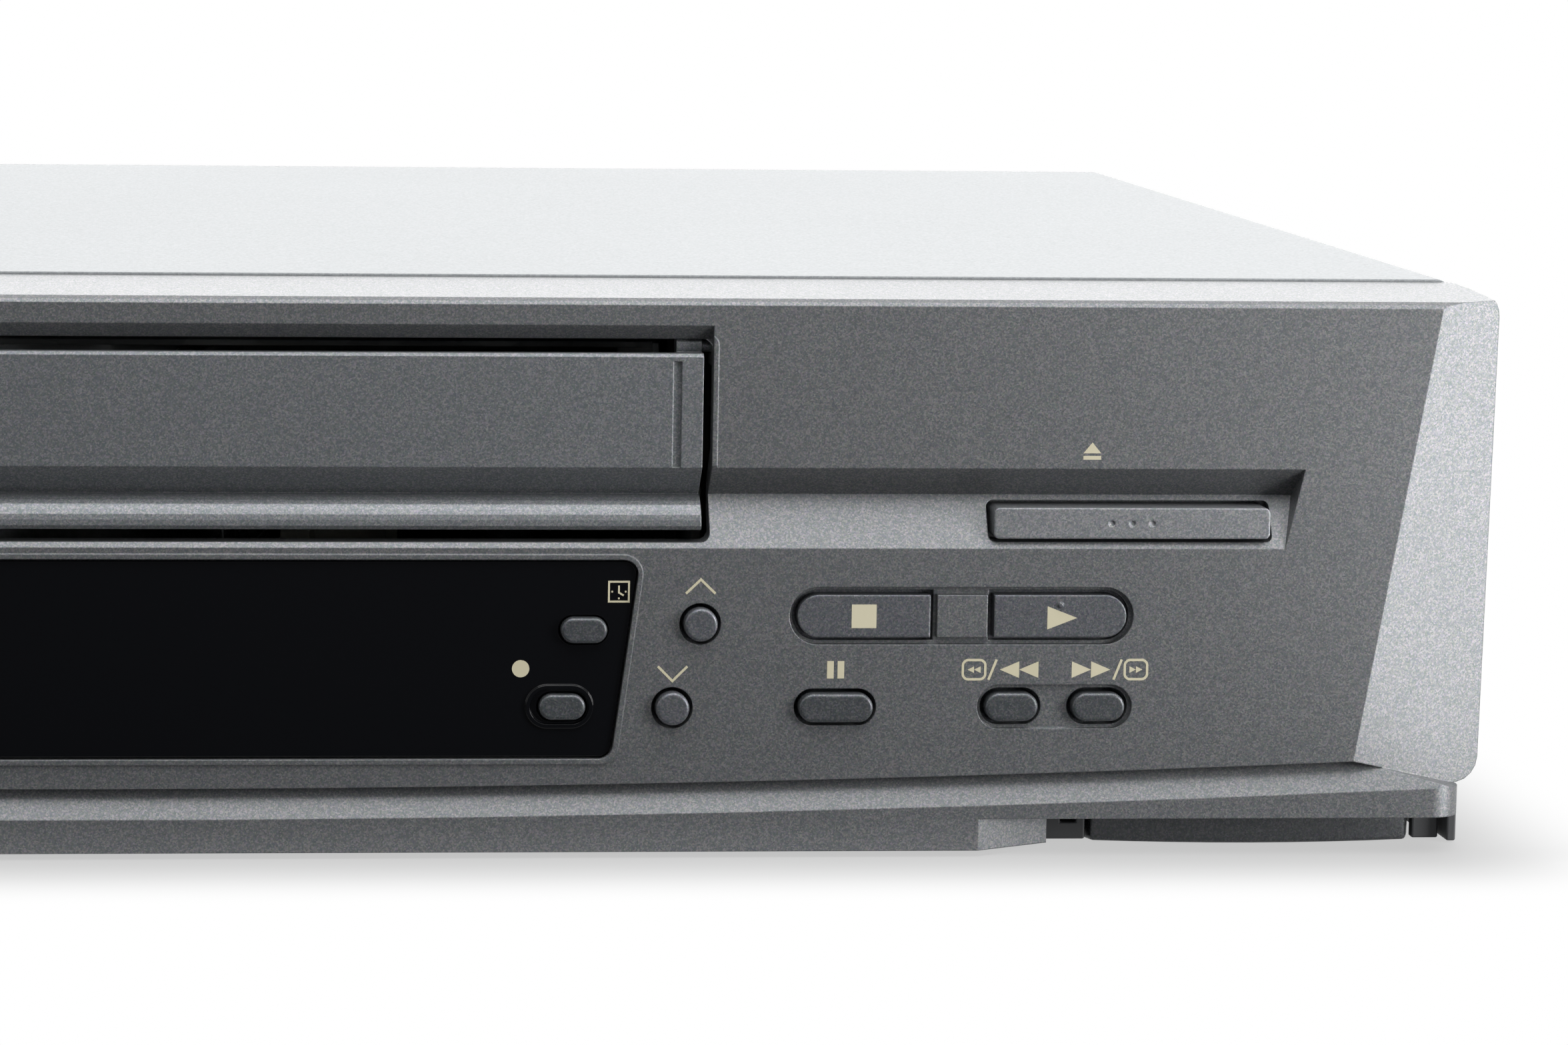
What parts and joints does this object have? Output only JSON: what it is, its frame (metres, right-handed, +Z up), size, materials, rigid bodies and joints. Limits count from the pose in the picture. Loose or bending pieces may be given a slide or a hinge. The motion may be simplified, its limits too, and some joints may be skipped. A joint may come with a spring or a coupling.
{
  "type": "video cassette recorder",
  "caption": "Domestic front-loading video cassette recorder with hinged slot flap, display window, push buttons, sheet cover and a complete tape transport inside.",
  "frame": {"origin": "middle of the bounding box at table level", "axes": "+X to the right seen from the front, front faces -Y, +Z up"},
  "size_m": [0.432, 0.295, 0.0894],
  "materials": {
    "panel_plastic": "metallic grey moulded plastic, fine flake",
    "key_plastic": "metallic grey moulded keys",
    "window_plastic": "polished black window",
    "cover_paint": "fine textured silver-grey paint on steel sheet",
    "base_plastic": "dark moulded plastic",
    "black_plastic": "black moulded plastic",
    "white_plastic": "natural acetal",
    "zinc_sheet": "zinc-plated steel sheet",
    "machined_aluminium": "turned aluminium",
    "steel": "ground steel",
    "nickel": "nickel plate",
    "board": "brown paper-phenolic board",
    "capacitor_sleeve": "shrink sleeve",
    "display_glass": "vacuum display",
    "foot_plastic": "dark moulded plastic, fine flake",
    "belt_rubber": "black rubber"
  },
  "bodies": {
    "chassis": {"front_panel": "panel_plastic", "flap_spring": "steel", "display_window": "window_plastic", "display_module": "display_glass", "front_board": "board", "push_switches": "black_plastic", "top_cover": "cover_paint", "base_tray": "base_plastic", "feet": "foot_plastic", "rear_panel": "zinc_sheet", "tuner_box": "zinc_sheet", "aerial_sockets": "nickel", "scart_sockets": "black_plastic", "phono_sockets": "black_plastic", "mains_inlet": "black_plastic", "main_board": "board", "power_board": "board", "transformer": "steel", "heat_sink": "machined_aluminium", "capacitors": "capacitor_sleeve", "deck_plate": "zinc_sheet", "bracket_left": "zinc_sheet", "bracket_right": "zinc_sheet", "drum_base": "machined_aluminium", "drum_lower": "machined_aluminium", "capstan_bearing": "machined_aluminium", "drive_belt": "belt_rubber", "erase_head": "steel", "audio_head": "steel", "tape_guides": "steel", "loading_motor": "steel", "screws": "steel"},
    "button_eject": {"button_eject": "panel_plastic"},
    "button_stop": {"button_stop": "key_plastic"},
    "button_play": {"button_play": "key_plastic"},
    "button_pause": {"button_pause": "key_plastic"},
    "button_rewind": {"button_rewind": "key_plastic"},
    "button_forward": {"button_forward": "key_plastic"},
    "button_channel_up": {"button_channel_up": "key_plastic"},
    "button_channel_down": {"button_channel_down": "key_plastic"},
    "button_record": {"button_record": "key_plastic"},
    "button_timer": {"button_timer": "key_plastic"},
    "button_standby": {"button_standby": "key_plastic"},
    "cassette_flap": {"cassette_flap": "panel_plastic"},
    "carriage_runner": {"carriage_runner": "black_plastic"},
    "cassette_holder": {"cassette_holder": "zinc_sheet"},
    "drum_upper": {"drum_upper": "machined_aluminium"},
    "capstan_flywheel": {"capstan_flywheel": "steel"},
    "clutch_pulley": {"clutch_pulley": "white_plastic"},
    "idler_arm": {"idler_arm": "black_plastic"},
    "idler_wheel": {"idler_wheel": "belt_rubber"},
    "reel_supply": {"reel_supply": "white_plastic"},
    "reel_takeup": {"reel_takeup": "white_plastic"},
    "pinch_arm": {"pinch_arm": "zinc_sheet"},
    "pinch_roller": {"pinch_roller": "belt_rubber"},
    "tension_arm": {"tension_arm": "zinc_sheet"},
    "motor_pinion": {"motor_pinion": "white_plastic"},
    "cam_gear": {"cam_gear": "white_plastic"},
    "pole_base_supply": {"pole_base_supply": "steel"},
    "pole_base_takeup": {"pole_base_takeup": "steel"}
  },
  "joints": [
    {"name": "flap_hinge", "type": "hinge", "parent": "chassis", "child": "cassette_flap", "pos_m": [-0.0087, -0.1418, 0.0798], "axis": [1, 0, 0], "range_deg": [0, 85], "stiffness_Nm_per_rad": 0.01, "springref_deg": -17.19},
    {"name": "press_eject", "type": "slide", "parent": "chassis", "child": "button_eject", "axis": [0, 1, 0], "range_m": [0, 0.0008], "stiffness_N_per_m": 400, "springref_m": -0.0005},
    {"name": "press_stop", "type": "slide", "parent": "chassis", "child": "button_stop", "axis": [0, 1, 0], "range_m": [0, 0.0008], "stiffness_N_per_m": 400, "springref_m": -0.0005},
    {"name": "press_play", "type": "slide", "parent": "chassis", "child": "button_play", "axis": [0, 1, 0], "range_m": [0, 0.0008], "stiffness_N_per_m": 400, "springref_m": -0.0005},
    {"name": "press_pause", "type": "slide", "parent": "chassis", "child": "button_pause", "axis": [0, 1, 0], "range_m": [0, 0.0008], "stiffness_N_per_m": 400, "springref_m": -0.0005},
    {"name": "press_rewind", "type": "slide", "parent": "chassis", "child": "button_rewind", "axis": [0, 1, 0], "range_m": [0, 0.0008], "stiffness_N_per_m": 400, "springref_m": -0.0005},
    {"name": "press_forward", "type": "slide", "parent": "chassis", "child": "button_forward", "axis": [0, 1, 0], "range_m": [0, 0.0008], "stiffness_N_per_m": 400, "springref_m": -0.0005},
    {"name": "press_channel_up", "type": "slide", "parent": "chassis", "child": "button_channel_up", "axis": [0, 1, 0], "range_m": [0, 0.0008], "stiffness_N_per_m": 400, "springref_m": -0.0005},
    {"name": "press_channel_down", "type": "slide", "parent": "chassis", "child": "button_channel_down", "axis": [0, 1, 0], "range_m": [0, 0.0008], "stiffness_N_per_m": 400, "springref_m": -0.0005},
    {"name": "press_record", "type": "slide", "parent": "chassis", "child": "button_record", "axis": [0, 1, 0], "range_m": [0, 0.0008], "stiffness_N_per_m": 400, "springref_m": -0.0005},
    {"name": "press_timer", "type": "slide", "parent": "chassis", "child": "button_timer", "axis": [0, 1, 0], "range_m": [0, 0.0008], "stiffness_N_per_m": 400, "springref_m": -0.0005},
    {"name": "press_standby", "type": "slide", "parent": "chassis", "child": "button_standby", "axis": [0, 1, 0], "range_m": [0, 0.0008], "stiffness_N_per_m": 400, "springref_m": -0.0005},
    {"name": "carriage_in", "type": "slide", "parent": "chassis", "child": "carriage_runner", "axis": [0, 1, 0], "range_m": [0, 0.059]},
    {"name": "holder_down", "type": "slide", "parent": "carriage_runner", "child": "cassette_holder", "axis": [0, 0, -1], "range_m": [0, 0.022]},
    {"name": "drum_spin", "type": "hinge", "parent": "chassis", "child": "drum_upper", "pos_m": [-0.0087, 0.0358, 0.0255], "axis": [0, 0.1045, 0.9945], "continuous": true},
    {"name": "capstan_spin", "type": "hinge", "parent": "chassis", "child": "capstan_flywheel", "pos_m": [0.0513, 0.0038, 0.0255], "axis": [0, 0, 1], "continuous": true},
    {"name": "clutch_spin", "type": "hinge", "parent": "chassis", "child": "clutch_pulley", "pos_m": [-0.0087, -0.0342, 0.0255], "axis": [0, 0, 1], "continuous": true},
    {"name": "idler_swing", "type": "hinge", "parent": "chassis", "child": "idler_arm", "pos_m": [-0.0087, -0.0342, 0.0255], "axis": [0, 0, 1], "range_deg": [-25, 25]},
    {"name": "idler_spin", "type": "hinge", "parent": "idler_arm", "child": "idler_wheel", "pos_m": [-0.0087, -0.0602, 0.0255], "axis": [0, 0, 1], "continuous": true},
    {"name": "supply_spin", "type": "hinge", "parent": "chassis", "child": "reel_supply", "pos_m": [-0.0547, -0.0622, 0.0255], "axis": [0, 0, 1], "continuous": true},
    {"name": "takeup_spin", "type": "hinge", "parent": "chassis", "child": "reel_takeup", "pos_m": [0.0373, -0.0622, 0.0255], "axis": [0, 0, 1], "continuous": true},
    {"name": "pinch_swing", "type": "hinge", "parent": "chassis", "child": "pinch_arm", "pos_m": [0.0753, 0.0158, 0.0255], "axis": [0, 0, 1], "range_deg": [-20, 0], "stiffness_Nm_per_rad": 0.05, "springref_deg": 5.73},
    {"name": "pinch_spin", "type": "hinge", "parent": "pinch_arm", "child": "pinch_roller", "pos_m": [0.05518, -0.01314, 0.031], "axis": [0, 0, 1], "continuous": true},
    {"name": "tension_swing", "type": "hinge", "parent": "chassis", "child": "tension_arm", "pos_m": [-0.0807, -0.0242, 0.0255], "axis": [0, 0, 1], "range_deg": [-8, 12], "stiffness_Nm_per_rad": 0.01},
    {"name": "cam_turn", "type": "hinge", "parent": "chassis", "child": "cam_gear", "pos_m": [0.0713, 0.0538, 0.0255], "axis": [0, 0, 1], "range_deg": [0, 170]},
    {"name": "pinion_turn", "type": "hinge", "parent": "chassis", "child": "motor_pinion", "pos_m": [0.05009, 0.07501, 0.0255], "axis": [0, 0, 1], "range_deg": [-680, 0]},
    {"name": "supply_pole_slide", "type": "slide", "parent": "chassis", "child": "pole_base_supply", "axis": [-0.1863, 0.9825, 0], "range_m": [0, 0.0595]},
    {"name": "takeup_pole_slide", "type": "slide", "parent": "chassis", "child": "pole_base_takeup", "axis": [0.1863, 0.9825, 0], "range_m": [0, 0.0595]}
  ],
  "couplings": [
    {"joint": "clutch_spin", "follows": "capstan_spin", "ratio": 0.5},
    {"joint": "idler_spin", "follows": "capstan_spin", "ratio": -0.93333},
    {"joint": "pinion_turn", "follows": "cam_turn", "ratio": -4},
    {"joint": "supply_pole_slide", "follows": "cam_turn", "m_per_rad": 0.02},
    {"joint": "takeup_pole_slide", "follows": "cam_turn", "m_per_rad": 0.02}
  ]
}
